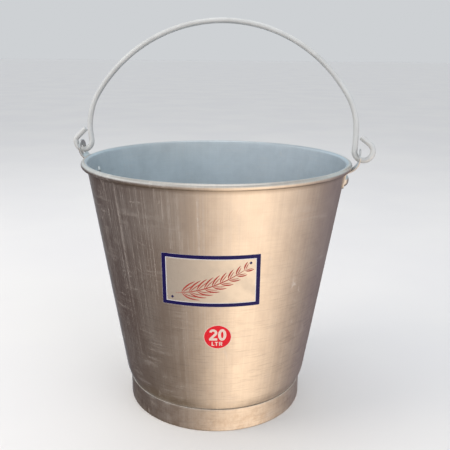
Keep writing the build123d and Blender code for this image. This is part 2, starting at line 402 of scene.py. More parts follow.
# ---- materials ----
class Finish:
    """One procedural material and short calls for its nodes."""

    def __init__(self, name, **sockets):
        self.material = bpy.data.materials.new(name)
        self.material.use_nodes = True
        self.tree = self.material.node_tree
        self.shader = self.tree.nodes["Principled BSDF"]
        for socket, value in sockets.items():
            self.shader.inputs[socket.replace("_", " ")].default_value = value
        self.place = self.tree.nodes.new("ShaderNodeTexCoord").outputs["Object"]
        self.parts = self.split(self.place)

    def node(self, kind, inputs, **settings):
        made = self.tree.nodes.new(kind)
        for key, value in settings.items():
            setattr(made, key, value)
        for socket, value in inputs.items():
            if isinstance(value, bpy.types.NodeSocket):
                self.tree.links.new(value, made.inputs[socket])
            else:
                made.inputs[socket].default_value = value
        return made

    def split(self, vector):
        return self.node("ShaderNodeSeparateXYZ", {0: vector}).outputs

    def join(self, x, y, z):
        return self.node("ShaderNodeCombineXYZ", {0: x, 1: y, 2: z}).outputs[0]

    def math(self, operation, a, b=0.0, c=0.0):
        return self.node("ShaderNodeMath", {0: a, 1: b, 2: c}, operation=operation).outputs[0]

    def dot(self, a, b):
        return self.node("ShaderNodeVectorMath", {0: a, 1: b}, operation="DOT_PRODUCT").outputs["Value"]

    def level_way(self):
        """The level direction from the axis, one unit long."""
        level = self.join(self.parts[0], self.parts[1], 0.0)
        return self.node("ShaderNodeVectorMath", {0: level}, operation="NORMALIZE").outputs[0]

    def times(self, *values):
        """The product of sockets and numbers."""
        product = values[0]
        for value in values[1:]:
            product = self.math("MULTIPLY", product, value)
        return product

    def around(self, per_radian, per_metre, offset=0.0):
        """Coordinates that count along the turn and up the axis, with no seam."""
        way = self.split(self.level_way())
        x = self.math("MULTIPLY_ADD", way[0], per_radian, offset)
        return self.join(x, self.times(way[1], per_radian), self.times(self.parts[2], per_metre))

    def scaled(self, x, y, z):
        return self.node(
            "ShaderNodeVectorMath", {0: self.place, 1: (x, y, z)}, operation="MULTIPLY"
        ).outputs[0]

    def noise(self, vector, scale=1.0, detail=2.0, rough=0.5, warp=0.0):
        return self.node(
            "ShaderNodeTexNoise",
            {"Vector": vector, "Scale": scale, "Detail": detail, "Roughness": rough, "Distortion": warp},
        ).outputs["Fac"]

    def turned_noise(self, per_radian, per_metre, offset=0.0, **settings):
        """Noise that runs round the axis with no seam."""
        return self.noise(self.around(per_radian, per_metre, offset), **settings)

    def ramp(self, value, low, high, to_low=0.0, to_high=1.0):
        return self.node(
            "ShaderNodeMapRange",
            {"Value": value, "From Min": low, "From Max": high, "To Min": to_low, "To Max": to_high},
            interpolation_type="SMOOTHSTEP",
        ).outputs[0]

    def mix(self, share, first, second, blend="MIX"):
        made = self.tree.nodes.new("ShaderNodeMix")
        made.data_type = "RGBA"
        made.blend_type = blend
        for socket, value in ((made.inputs[0], share), (made.inputs[6], first), (made.inputs[7], second)):
            if isinstance(value, bpy.types.NodeSocket):
                self.tree.links.new(value, socket)
            else:
                socket.default_value = value if isinstance(value, float) else (*value, 1.0)
        return made.outputs[2]

    def ridge(self, value, width):
        """Thin lines where a noise passes its middle value."""
        off = self.math("ABSOLUTE", self.math("SUBTRACT", value, 0.5))
        return self.ramp(off, 0.0, width, 1.0, 0.0)

    def hairlines(self, per_radian, per_metre, offset, width):
        """Long thin lines that run up the wall."""
        return self.ridge(self.turned_noise(per_radian, per_metre, offset, detail=1.0), width)

    def bump(self, height, distance, strength=1.0, normal=None):
        inputs = {"Height": height, "Distance": distance, "Strength": strength}
        if normal:
            inputs["Normal"] = normal
        return self.node("ShaderNodeBump", inputs).outputs[0]

    def drive(self, socket, value):
        self.tree.links.new(value, self.shader.inputs[socket])

    def turned_tangent(self):
        """Grooves that run round the axis, so that light is spread up and down."""
        tangent = self.node("ShaderNodeTangent", {}, direction_type="RADIAL", axis="Z")
        self.drive("Tangent", tangent.outputs[0])
        self.shader.inputs["Anisotropic Rotation"].default_value = 0.25


def shade(colour, factor):
    """A colour made darker or lighter by a factor."""
    return tuple(min(1.0, factor * c) for c in colour)


def drawn_aluminium(name, colour, dark, rough, scratches, stains_and_lip_shade, anisotropy, streaks=1.0):
    """Drawn sheet: fine lines round the axis, upright draw marks and scratches, and dull patches; with
    stains, also a painted shade line under the lip.
    """
    f = Finish(name, Anisotropic=anisotropy)
    f.turned_tangent()
    height = f.parts[2]
    patches = f.turned_noise(3.0, 14.0, detail=4.0, rough=0.6)
    blotches = f.turned_noise(9.0, 55.0, 4.0, detail=5.0, rough=0.62)
    lines = f.turned_noise(2.2, 1500.0, detail=3.0, rough=0.7)
    bands = f.turned_noise(0.9, 190.0, detail=3.0, rough=0.6)
    fine_streaks = f.turned_noise(170.0, 4.0, 2.0, detail=2.0)
    wide_streaks = f.turned_noise(42.0, 2.2, 7.0, detail=3.0, rough=0.6)

    # upright scratches: thin lines that gather on the wall left of the label
    gathered = f.dot(f.around(1.0, 0.0), (-0.45, -0.89, 0.0))
    fine_upright = f.times(f.hairlines(85.0, 1.6, 23.0, 0.070), 0.45)
    upright = f.times(
        f.math("MAXIMUM", f.hairlines(27.0, 0.9, 11.0, 0.034), fine_upright),
        f.ramp(f.turned_noise(9.0, 8.0, 5.0, detail=3.0), 0.34, 0.56),
        f.ramp(f.turned_noise(60.0, 420.0, 2.0, detail=2.0), 0.30, 0.60, 0.35, 1.0),
        f.ramp(height, 0.06, 0.27, 0.35, 1.0),
        f.ramp(gathered, 0.55, 0.90, 0.30, 1.0),
    )

    # a few slanted scratches, specks of scuffing, and bright and dark lines left by the turning
    slanted = f.node(
        "ShaderNodeVectorRotate", {0: f.around(6.0, 70.0, 3.0), 2: (1.0, 0.3, 0.0), 3: 0.05}
    ).outputs[0]
    slanted = f.times(
        f.ridge(f.noise(slanted, detail=0.0), 0.022),
        f.ramp(f.turned_noise(11.0, 34.0, 8.0, detail=2.0), 0.58, 0.68),
    )
    scuffs = f.times(
        f.ramp(f.turned_noise(190.0, 1300.0, 6.0, detail=2.0), 0.68, 0.74),
        f.ramp(f.turned_noise(6.0, 26.0, 1.0, detail=1.0), 0.50, 0.62),
        0.6,
    )
    bright_lines = f.times(
        f.hairlines(1.2, 260.0, 31.0, 0.085),
        0.50,
        f.ramp(f.turned_noise(5.0, 30.0, 13.0, detail=3.0), 0.46, 0.62),
    )
    dark_lines = f.times(
        f.ramp(f.turned_noise(4.0, 520.0, 17.0, detail=3.0, rough=0.65), 0.52, 0.66),
        f.ramp(height, 0.09, 0.30, 0.42, 0.10),
        streaks,
    )
    marks = f.math("MAXIMUM", f.math("MAXIMUM", upright, slanted), scuffs)
    marks = f.times(f.math("MAXIMUM", marks, bright_lines), scratches)

    base = f.mix(f.ramp(blotches, 0.35, 0.75), colour, dark)
    base = f.mix(f.ramp(wide_streaks, 0.30, 0.70, 0.0, 0.42 * streaks), base, shade(colour, 0.82))
    base = f.mix(f.ramp(fine_streaks, 0.50, 0.75, 0.0, 0.30 * streaks), base, shade(colour, 1.14))
    base = f.mix(f.ramp(lines, 0.25, 0.75, 0.0, 0.16), base, shade(colour, 0.80))
    base = f.mix(dark_lines, base, shade(colour, 0.62))
    base = f.mix(marks, base, (0.80, 0.72, 0.65))
    if stains_and_lip_shade:
        grime = f.times(
            f.ramp(height, 0.008, 0.060, 1.0, 0.0),
            f.ramp(f.turned_noise(13.0, 95.0, 9.0, detail=7.0, rough=0.7), 0.36, 0.82),
            stains_and_lip_shade,
        )
        base = f.mix(grime, base, (0.42, 0.29, 0.19))
        # painted shade: a dark band just under the lip stands in for the shadow where the curl meets the
        # wall
        lip_shade = f.times(f.ramp(height, *lip_shade_start), f.ramp(height, *lip_shade_end, 0.6, 0.0))
        base = f.mix(lip_shade, base, (0.30, 0.24, 0.19))
    f.drive("Base Color", base)
    f.drive("Metallic", f.ramp(marks, 0.0, 1.0, 1.0, 0.45))

    gloss = f.ramp(patches, 0.25, 0.75, rough - 0.05, rough + 0.07)
    gloss = f.math("ADD", gloss, f.ramp(fine_streaks, 0.30, 0.70, -0.03, 0.03))
    gloss = f.math("ADD", gloss, f.ramp(lines, 0.30, 0.70, -0.03, 0.03))
    f.drive("Roughness", f.math("ADD", gloss, f.times(marks, 0.10)))

    normal = f.bump(lines, 0.00003, 0.5)
    normal = f.bump(bands, 0.00010, 0.35, normal)
    normal = f.bump(wide_streaks, 0.00025, 0.45 * streaks, normal)
    normal = f.bump(fine_streaks, 0.00003, 0.5 * streaks, normal)
    f.drive("Normal", f.bump(marks, 0.00005, -0.6, normal))
    return f.material


def pressed_aluminium(name, colour, rough):
    """Stamped or hammered small parts: satin, with tiny pits and worn high spots."""
    f = Finish(name, Metallic=1.0)
    patches = f.noise(f.place, 90.0, 4.0, 0.6)
    grain = f.noise(f.scaled(1.0, 1.0, 0.25), 1400.0, 3.0, 0.6)
    pits = f.node("ShaderNodeTexVoronoi", {"Vector": f.place, "Scale": 520.0}).outputs["Distance"]
    pits = f.times(f.ramp(pits, 0.10, 0.22, 1.0, 0.0), f.ramp(patches, 0.45, 0.6))
    base = f.mix(f.ramp(patches, 0.35, 0.7), colour, shade(colour, 0.78))
    f.drive("Base Color", f.mix(f.times(pits, 0.5), base, shade(colour, 0.45)))
    gloss = f.ramp(patches, 0.3, 0.7, rough - 0.06, rough + 0.08)
    f.drive("Roughness", f.math("ADD", gloss, f.ramp(grain, 0.3, 0.7, -0.03, 0.03)))
    f.drive("Normal", f.bump(pits, 0.00008, -0.7, f.bump(grain, 0.00003, 0.5)))
    return f.material


def galvanised_rod(name, colour, rough):
    """A pale zinc-grey rod: cloudy bloom, fine grain and a few rubbed spots."""
    f = Finish(name, Metallic=0.22, Specular_IOR_Level=0.5)
    bloom = f.noise(f.place, 38.0, 3.0, 0.5)
    grain = f.noise(f.place, 900.0, 2.0, 0.5)
    rubbed = f.ramp(f.noise(f.place, 95.0, 2.0), 0.58, 0.74)
    base = f.mix(f.ramp(bloom, 0.30, 0.72), colour, shade(colour, 0.90))
    base = f.mix(f.times(rubbed, 0.3), base, (0.74, 0.74, 0.73))
    f.drive("Base Color", f.mix(f.ramp(grain, 0.35, 0.75, 0.0, 0.05), base, (0.55, 0.55, 0.56)))
    gloss = f.ramp(bloom, 0.3, 0.7, rough + 0.04, rough - 0.05)
    f.drive("Roughness", f.math("ADD", gloss, f.times(grain, 0.05)))
    f.drive("Normal", f.bump(bloom, 0.00012, 0.25, f.bump(grain, 0.00001, 0.12)))
    return f.material


def printed_film(name, colour, worn, rough, wear, coat, metallic=0.0, specular=0.5):
    """Ink or clear film: slightly cloudy, lightly scuffed, with its own gloss."""
    f = Finish(
        name, Metallic=metallic, Coat_Weight=coat, Coat_Roughness=0.12, Specular_IOR_Level=specular
    )
    cloud = f.noise(f.place, 60.0, 4.0, 0.6)
    rubs = f.turned_noise(70.0, 300.0, 3.0, detail=3.0, rough=0.6)
    base = f.mix(f.ramp(cloud, 0.35, 0.7, 0.0, 0.6), colour, shade(colour, 0.88))
    f.drive("Base Color", f.mix(f.ramp(rubs, 0.60, 0.78, 0.0, wear), base, worn))
    f.drive("Roughness", f.ramp(cloud, 0.3, 0.7, rough - 0.05, rough + 0.08))
    f.drive("Normal", f.bump(f.noise(f.place, 240.0, 3.0), 0.00006, 0.25))
    return f.material


# the warm tint of the outside and ring colours is a painted warm reflection, and the cooler, slightly
# darker inside colour is a painted sky reflection and shade; all three are the same aluminium
outside_finish = drawn_aluminium(
    "spun_aluminium_outside", (0.86, 0.78, 0.70), (0.76, 0.68, 0.61),
    rough=0.36, scratches=0.55, stains_and_lip_shade=0.25, anisotropy=0.55,
)
inside_finish = drawn_aluminium(
    "spun_aluminium_inside", (0.72, 0.75, 0.77), (0.66, 0.69, 0.71),
    rough=0.42, scratches=0.20, stains_and_lip_shade=0.0, anisotropy=0.35, streaks=0.35,
)
ring_finish = drawn_aluminium(
    "spun_aluminium_ring", (0.85, 0.76, 0.67), (0.76, 0.67, 0.58),
    rough=0.38, scratches=0.65, stains_and_lip_shade=0.55, anisotropy=0.50,
)
ear_finish = pressed_aluminium("ear_aluminium_satin", (0.80, 0.78, 0.76), 0.36)
rivet_finish = pressed_aluminium("rivet_aluminium_hammered", (0.83, 0.81, 0.78), 0.32)
wire_finish = pressed_aluminium("rim_wire_drawn_steel", (0.50, 0.50, 0.51), 0.40)
rod_finish = galvanised_rod("bail_rod_galvanised", (0.63, 0.64, 0.635), 0.40)
# the clear film's warm metallic colour is the wall's painted warm reflection seen through it
film_finish = printed_film(
    "label_clear_film", (0.80, 0.72, 0.62), (0.62, 0.56, 0.50),
    rough=0.42, wear=0.20, coat=0.15, metallic=0.75,
)
halo_finish = printed_film(
    "label_white_ink", (0.80, 0.78, 0.80), (0.60, 0.56, 0.52),
    rough=0.40, wear=0.20, coat=0.10,
)
frame_finish = printed_film(
    "label_blue_ink", (0.006, 0.003, 0.080), (0.03, 0.025, 0.14),
    rough=0.40, wear=0.10, coat=0.05, specular=0.20,
)
motif_finish = printed_film(
    "label_red_ink", (0.42, 0.030, 0.020), (0.58, 0.16, 0.10),
    rough=0.45, wear=0.25, coat=0.0,
)
red_finish = printed_film(
    "sticker_red_film", (0.80, 0.008, 0.022), (0.60, 0.04, 0.04),
    rough=0.40, wear=0.10, coat=0.06, specular=0.25,
)
cream_finish = printed_film(
    "sticker_white_ink", (0.86, 0.68, 0.58), (0.78, 0.45, 0.38),
    rough=0.42, wear=0.15, coat=0.10,
)


# ---- pail body: bottom, rounded corner, wall and curled lip, one sheet ----
across_sheet = 1.0 / cos(wall_lean)
lean_drop = sin(wall_lean)
corner_centre_reach = (
    wall_radius(bottom_height + corner_radius * (1.0 - lean_drop))
    - corner_radius * cos(wall_lean)
)
lip_centre_height = pail_height - lip_radius
wall_start_height = bottom_height + corner_radius - (corner_radius - sheet / 2.0) * lean_drop
lip_start_height = lip_centre_height + (lip_radius - sheet / 2.0) * lean_drop

body_rows = walk(
    (0.0, bottom_height + sheet / 2.0),
    0.0,
    [
        ("line", corner_centre_reach),
        ("arc", corner_radius - sheet / 2.0, pi / 2.0 - wall_lean),
        ("line", (lip_start_height - wall_start_height) * across_sheet),
        ("arc", lip_radius - sheet / 2.0, -lip_wrap),
    ],
    4.5 * mm,
    body_arc_step,
)
body_outline = sheet_profile(body_rows, sheet, round_start=False)
inner_face_start = len(body_outline) - len(body_rows)
lip_top_index = inner_face_start + round(0.75 * lip_wrap / body_arc_step)


def body_finish(k):
    """The inside finish begins where the inner face leaves the top of the lip."""
    return 1 if k >= lip_top_index else 0


body = spun(
    "pail_body", body_outline, turn_segments, [outside_finish, inside_finish], body_finish, wall_shift
)
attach(body, "pail")
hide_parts("pail_shell")

# ---- wire inside the lip ----
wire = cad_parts["rim_wire"]
wire.data.materials.clear()
wire.data.materials.append(wire_finish)

# ---- foot ring, its lower edge rolled inward ----
ring_rows = walk(
    (ring_reach - ring_sheet / 2.0, ring_height - ring_sheet / 2.0),
    -pi / 2.0,
    [
        ("line", ring_height - ring_sheet / 2.0 - ring_roll_radius + ring_worn_flat),
        ("arc", ring_roll_radius - ring_sheet / 2.0, -ring_roll_turn),
    ],
    3.0 * mm,
    radians(12.0),
)
ring_outline = sheet_profile(ring_rows, ring_sheet, round_start=True)
ring_outline = [(r, max(z, 0.0)) for r, z in ring_outline]


def ring_shift(azimuth, z):
    """The foot ring is a little uneven where it has been knocked, but true along its top edge."""
    fade = 1.0 - smooth_step(z, 0.018, 0.028)
    x, y = cos(azimuth), sin(azimuth)
    return -0.22 * mm * fade * abs(noise.noise(Vector((3.0 * x, 3.0 * y, 21.0 * z + 2.0))))


ring = spun("foot_band", ring_outline, turn_segments, [ring_finish], shift=ring_shift)
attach(ring, "pail")
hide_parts("foot_ring")

# ---- ears: a strap riveted to the wall, bent out under the lip and up beside it ----
foot_heading = pi / 2.0 - wall_lean
foot_length = (ear_foot_top - ear_foot_bottom) * across_sheet
strap_start = (wall_radius(ear_foot_bottom) + ear_thickness / 2.0 * across_sheet, ear_foot_bottom)


def strap_moves(pivot_reach):
    """The strap's middle line from its foot up to the start of its upright end."""
    slant_start_reach = (
        wall_radius(ear_foot_top)
        + ear_thickness / 2.0 * across_sheet
        + ear_out_bend * (cos(wall_lean) - sin(ear_slant))
    )
    up_bend_reach = ear_up_bend * (1.0 - sin(ear_slant))
    return [
        ("line", foot_length),
        ("arc", ear_out_bend, ear_slant - foot_heading),
        ("line", (pivot_reach - up_bend_reach - slant_start_reach) / cos(ear_slant)),
        ("arc", ear_up_bend, pi / 2.0 - ear_slant),
        ("line", 1.0),
    ]


def along(moves, start, heading, length):
    """The point and heading after this length of a row of moves."""
    x, z = start
    for move in moves:
        whole = move[1] if move[0] == "line" else move[1] * abs(move[2])
        part = min(length, whole)
        length -= part
        if move[0] == "line":
            x, z = x + part * cos(heading), z + part * sin(heading)
        else:
            turn = copysign(part / move[1], move[2])
            chord = 2.0 * move[1] * sin(abs(turn) / 2.0)
            x += chord * cos(heading + turn / 2.0)
            z += chord * sin(heading + turn / 2.0)
            heading += turn
    return x, z, heading


def strap_length(moves, height):
    """How far along the strap its middle reaches this height, by halving the search."""
    low, high = 0.0, 0.1
    for _ in range(40):
        middle = (low + high) / 2.0
        if along(moves, strap_start, foot_heading, middle)[1] < height:
            low = middle
        else:
            high = middle
    return low


def ear_place(moves, side):
    """Puts a point of the flat strap on the bent strap.  side is -1 for the left ear."""

    def place(across, length, height):
        x, z, heading = along(moves, strap_start, foot_heading, max(length, 0.0))
        out = height - ear_thickness / 2.0
        x += out * sin(heading)
        z += -out * cos(heading) + min(length, 0.0)
        hug = 1.0 - smooth_step(length, foot_length - 3.0 * mm, foot_length + 6.0 * mm)
        radius = wall_radius(ear_foot_bottom)
        x -= hug * (radius - sqrt(radius * radius - across * across))
        return (side * x, side * across, z)

    return place


rivet_length = (rivet_height - ear_foot_bottom) * across_sheet
half = ear_width / 2.0


def strap_outline(top_length):
    """Round top, straight sides and rounded lower corners, drawn flat."""
    low_right = arc((half - ear_corner, ear_corner), ear_corner, -tau / 4.0, tau / 4.0, 8)
    low_left = arc((ear_corner - half, ear_corner), ear_corner, tau / 2.0, tau / 4.0, 8)
    shoulder = top_length - half
    top = arc((0.0, shoulder), half, 0.0, tau / 2.0, 28)
    steps = 18
    rise = shoulder - ear_corner
    right_side = [(half, ear_corner + rise * i / steps) for i in range(1, steps)]
    left_side = [(-half, ear_corner + rise * i / steps) for i in range(steps - 1, 0, -1)]
    bottom = [(x * mm, 0.0) for x in (-4.0, -2.0, 0.0, 2.0, 4.0)]
    return low_right + right_side + top + left_side + low_left + bottom


ear_rim = rounded_rim(ear_thickness, 0.55 * mm)
for name, pivot_reach, side in (
    ("ear_right", right_pivot_reach, 1.0),
    ("ear_left", left_pivot_reach, -1.0),
):
    moves = strap_moves(pivot_reach)
    loops = [
        strap_outline(strap_length(moves, ear_top)),
        circle((0.0, strap_length(moves, pivot_height)), ear_hole_radius, 40, hole=True),
        circle((0.0, rivet_length), rivet_shank_radius, 20, hole=True),
    ]
    ear = plate(name + "_strap", loops, ear_rim, 1.5 * mm, ear_place(moves, side), [ear_finish])
    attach(ear, "pail")
    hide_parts(name)

# ---- rivets: hammered heads outside and inside, one shank ----
def cap_arc(radius, height, steps):
    """A domed head's outline from its rim to its middle, as (radius, height) points."""
    ball = (radius**2 + height**2) / (2.0 * height)
    spread = asin(radius / ball)
    angles = [spread * (1.0 - i / steps) for i in range(steps + 1)]
    return [(ball * sin(a), height - ball + ball * cos(a)) for a in angles]


def rivet_outline():
    """Half of a rivet, its own axis upright: the outer head above, the inner head below."""
    seat = ear_thickness - 0.1 * mm
    outer = [(r, z + ear_thickness) for r, z in cap_arc(outer_head_radius, outer_head_height, 12)]
    inner = [(r, -sheet - z) for r, z in cap_arc(inner_head_radius, inner_head_height, 8)]
    skirt = [(outer_head_radius, seat - 0.25 * mm), (rivet_shank_radius, seat - 0.25 * mm)]
    neck = [(rivet_shank_radius, -sheet + 0.35 * mm), (inner_head_radius, -sheet + 0.35 * mm)]
    return inner[::-1] + neck[::-1] + skirt[::-1] + outer


def hammered(piece, depth, seed):
    """Presses small flats into a rivet's two heads."""
    for vertex in piece.data.vertices:
        r = hypot(vertex.co.x, vertex.co.y)
        if r < rivet_shank_radius * 0.98 or vertex.co.z > ear_thickness or vertex.co.z < -sheet:
            blow = noise.noise(vertex.co * 260.0 + Vector((seed, 0.0, 0.0)))
            vertex.co -= vertex.co.normalized() * depth * max(0.0, blow + 0.25)


for name, half_turn, seed in (("rivet_right", False, 1.0), ("rivet_left", True, 9.0)):
    rivet = spun(name + "_heads", rivet_outline(), 40, [rivet_finish])
    hammered(rivet, 0.45 * mm, seed)
    stand = Matrix.Translation((wall_radius(rivet_height), 0.0, rivet_height)) @ Matrix.Rotation(
        pi / 2.0 + wall_lean, 4, "Y"
    )
    rivet.data.transform(Matrix.Rotation(pi if half_turn else 0.0, 4, "Z") @ stand)
    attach(rivet, "pail")
    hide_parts(name)

# ---- bail: one rod bent from end to end ----
crown_radius = shoulder_radius + (shank_reach - shoulder_radius) / cos(shoulder_turn)
crown_height = (
    shoulder_height + (shoulder_radius - crown_radius) * sin(shoulder_turn) + crown_radius
)


def bail_half(pivot_reach, knee, hook_moves):
    """Points and headings from the crown down to one hook's cut end, in the bail's own plane.

    The knee is a slight bend towards the axis above the hook: its radius, turn and the straight
    length after it.
    """
    knee_radius, knee_turn, knee_length = knee
    hook_start_reach = (
        shank_reach - knee_radius * (1.0 - cos(knee_turn)) - knee_length * sin(knee_turn)
    )
    past_ear = hook_start_reach + hook_radius * cos(knee_turn) - pivot_reach
    hook_start_height = sqrt(hook_radius**2 - past_ear**2) + hook_radius * sin(knee_turn)
    knee_start_height = (
        hook_start_height + knee_length * cos(knee_turn) + knee_radius * sin(knee_turn)
    )
    moves = [
        ("arc", crown_radius, shoulder_turn - pi / 2.0),
        ("arc", shoulder_radius, -shoulder_turn),
        ("line", shoulder_height - knee_start_height),
        ("arc", knee_radius, -knee_turn),
        ("line", knee_length),
    ]
    return walk((0.0, crown_height), 0.0, moves + hook_moves, 3.0 * mm, radians(5.0))


right_half = bail_half(
    right_pivot_reach,
    (80.0 * mm, radians(3.0), 6.0 * mm),
    [("arc", hook_radius, radians(235.0)), ("line", 14.4 * mm)],
)
left_half = bail_half(
    left_pivot_reach,
    (60.0 * mm, radians(10.0), 11.0 * mm),
    [
        ("arc", hook_radius, radians(174.0)),
        ("line", 3.4 * mm),
        ("arc", 4.3 * mm, radians(61.0)),
        ("line", 18.2 * mm),
    ],
)
# the left half is mirrored and turned about, so that the rod runs from one cut end to the other
bail_rows = [(-x, z, pi - h + pi) for x, z, h in left_half[:0:-1]] + right_half


def rod_mesh(rows, radius, sides, place, materials):
    """A round rod along flat rows, its two cut ends chamfered."""
    cut = rod_end_chamfer
    steps = [(cut, radius), (cut * 0.35, radius - cut * 0.25), (0.0, radius - cut)]
    rings = []
    for k, (x, z, h) in enumerate(rows):
        if k in (0, len(rows) - 1):
            inward = 1.0 if k == 0 else -1.0
            ends = [(x + inward * d * cos(h), z + inward * d * sin(h), h, r) for d, r in steps]
            rings += ends[::-1] if k == 0 else ends
        else:
            rings.append((x, z, h, radius))
    points = []
    for k, (x, z, h, size) in enumerate(rings):
        for i in range(sides):
            a = tau * i / sides
            spot = Vector((55.0 * x, 3.0 * sin(a), 55.0 * z + 3.0 * cos(a)))
            reach = size - rod_dent + rod_dent * noise.noise(spot)
            out, deep = reach * cos(a), reach * sin(a)
            points.append(place(x - out * sin(h), deep, z + out * cos(h)))
    faces = []
    for k in range(len(rings) - 1):
        for i in range(sides):
            j = (i + 1) % sides
            a, b = k * sides, (k + 1) * sides
            faces.append([a + i, b + i, b + j, a + j])
    for k, (x, z, h, _), flip in ((0, rings[0], False), (len(rings) - 1, rings[-1], True)):
        middle = len(points)
        points.append(place(x, 0.0, z))
        for i in range(sides):
            j = (i + 1) % sides
            corners = [middle, k * sides + i, k * sides + j]
            faces.append(corners[::-1] if flip else corners)
    return mesh_object("bail_rod", points, faces, materials)


def bail_place(x, y, z):
    """From the bail's own upright plane to where it leans at rest."""
    back = y * cos(bail_lean) + z * sin(bail_lean)
    up = z * cos(bail_lean) - y * sin(bail_lean)
    return (x, back, pivot_height + up)


bail = rod_mesh(bail_rows, rod_radius, 32, bail_place, [rod_finish])
bail.data.set_sharp_from_angle(angle=radians(50.0))
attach(bail, "bail")
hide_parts("bail")


# ---- printed films on the wall ----
def on_wall(azimuth, middle, upright):
    """Lays flat film on the dented wall; upright is the film's rise per unit of its own height."""

    def place(u, v, height):
        z = middle + v * upright
        turn = azimuth + asin(u / wall_radius(z))
        reach = wall_radius(z) + wall_shift(turn, z) + height
        return (reach * cos(turn), reach * sin(turn), z)

    return place


def print_layer(name, loops, layer, spacing, place, finish, slot, *nodes):
    """One printed or film layer between two heights above the wall."""
    piece = plate(name, loops, [(0.0, layer[1]), (0.0, layer[0])], spacing, place, [finish])
    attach(piece, "pail")
    if nodes:
        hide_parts(*nodes)
    return piece


label_place = on_wall(label_azimuth, label_middle, 1.0)
halo = 0.15 * mm
stroke = 4.6 * mm
white_line = 0.7 * mm
film_loop = [rectangle(label_width, label_height, 1.2 * mm, 2.0 * mm)]


def border(inset, width):
    """A closed rectangular frame this far inside the film's edge."""
    outer = (label_width - 2.0 * inset, label_height - 2.0 * inset)
    inner = (outer[0] - 2.0 * width, outer[1] - 2.0 * width)
    return [rectangle(*outer, 0.9 * mm, 2.0 * mm), rectangle(*inner, 0.3 * mm, 2.0 * mm, hole=True)]


print_layer(
    "label_film", film_loop, film_layer, 3.0 * mm, label_place, film_finish, "label_film", "front_label"
)
print_layer(
    "label_white_edge", border(0.0, halo + stroke + white_line), white_layer, 2.5 * mm,
    label_place, halo_finish, "label_film",
)
print_layer(
    "label_blue_frame", border(halo, stroke), blue_layer, 2.5 * mm,
    label_place, frame_finish, "label_film",
)


def curve_at(start, bend, end, t):
    """The point and the direction at a share t of a curve drawn by three points."""
    spans = list(zip(start, bend, end))
    point = [(1 - t) ** 2 * a + 2 * t * (1 - t) * b + t * t * c for a, b, c in spans]
    run = Vector([2 * (1 - t) * (b - a) + 2 * t * (c - b) for a, b, c in spans])
    return point, run.normalized()


def blade(start, bend, end, width):
    """A tapered stroke along a curve drawn by three points, as a closed loop."""
    left, right = [], []
    count = 14
    for i in range(count + 1):
        t = i / count
        p, d = curve_at(start, bend, end, t)
        reach = 0.5 * width * (0.12 + 0.88 * sin(pi * t) ** 0.7)
        left.append((p[0] - d.y * reach, p[1] + d.x * reach))
        right.append((p[0] + d.y * reach, p[1] - d.x * reach))
    return right + left[::-1]


def sprig():
    """A lying sprig of grass: a curved stem with paired leaves that shorten to its tip."""
    stem = [(-41.0, -17.0), (0.0, -13.0), (43.0, 17.0)]
    strokes = [blade(*[(x * mm, y * mm) for x, y in stem], 1.3 * mm)]
    pairs = 9
    for k in range(pairs):
        t = 0.08 + 0.86 * k / (pairs - 1)
        root, run = curve_at(*stem, t)
        root = Vector(root)
        size = 24.0 * (1.0 - 0.55 * t)
        for side, spread in ((1.0, 0.62), (-1.0, 0.50)):
            way = Matrix.Rotation(side * spread, 2) @ run
            bulge = Matrix.Rotation(side * 1.15, 2) @ run
            tip = root + way * size
            bend = root + bulge * size * 0.45 + run * size * 0.10
            gap = root + way * 1.1
            inner = root + (way * 0.75 + run * 0.25) * size * 0.9
            inner_bend = (bend + root + run * 8.0) / 2.0
            edge = (gap, bend, tip)
            vein = (gap + run * 1.8, inner_bend, inner)
            for curve, width in ((edge, 1.7 * mm), (vein, 1.0 * mm)):
                strokes.append(blade(*[tuple(p * mm) for p in curve], width))
    return strokes


for number, loop in enumerate(sprig()):
    print_layer(
        f"label_sprig_{number:02d}", [loop], motif_layer, 3.0 * mm,
        label_place, motif_finish, "label_film",
    )

diamond_reach = 1.9
for number, (x, y) in enumerate(((-44.8, -22.6), (45.5, 22.6)), 1):
    r = diamond_reach
    diamond = [(x - r, y), (x, y - r), (x + r, y), (x, y + r)]
    print_layer(
        f"label_small_diamond_{number}", [[(u * mm, v * mm) for u, v in diamond]],
        motif_layer, 3.0 * mm, label_place, frame_finish, "label_film",
    )

sticker_place = on_wall(sticker_azimuth, sticker_middle, cos(wall_lean))
print_layer(
    "sticker_disc", [circle((0.0, 0.0), sticker_radius, 96)], disc_layer, 2.0 * mm,
    sticker_place, cream_finish, "sticker_red", "capacity_sticker",
)
print_layer(
    "sticker_red_face", [circle((0.0, 0.0), sticker_radius - sticker_edge, 96)], red_layer, 2.0 * mm,
    sticker_place, red_finish, "sticker_red",
)


def ellipse(centre, wide, high, count, hole=False):
    """An oval loop, clockwise when it is a hole."""
    x, y = centre
    points = [(x + wide * a, y + high * b) for a, b in circle((0.0, 0.0), 1.0, count)]
    return points[::-1] if hole else points


def figure_two():
    """A bold figure 2, 9.8 wide and 15.8 high, its lower left corner at the origin."""
    bowl = (4.9, 10.95)
    outer = arc(bowl, 4.85, radians(172.0), radians(-212.0), 20)
    inner = arc(bowl, 1.75, radians(-40.0), radians(212.0), 14)
    foot = [(4.6, 3.3), (9.8, 3.3), (9.8, 0.0), (0.0, 0.0), (0.0, 2.6)]
    return (outer + foot + inner)[::-1]


def letter_r():
    """A bold capital R, 5 wide and 7 high, and the hole of its bowl."""
    bowl = arc((2.9, 4.9), 2.1, radians(-62.0), radians(152.0), 12)
    outer = [(0.0, 0.0), (1.5, 0.0), (1.5, 2.7), (2.1, 2.7), (3.4, 0.0), (5.1, 0.0)] + bowl + [(0.0, 7.0)]
    hole = [(1.5, 4.0), (1.5, 5.8)] + arc((2.7, 4.9), 0.9, radians(90.0), radians(-180.0), 8)
    return [outer, hole]


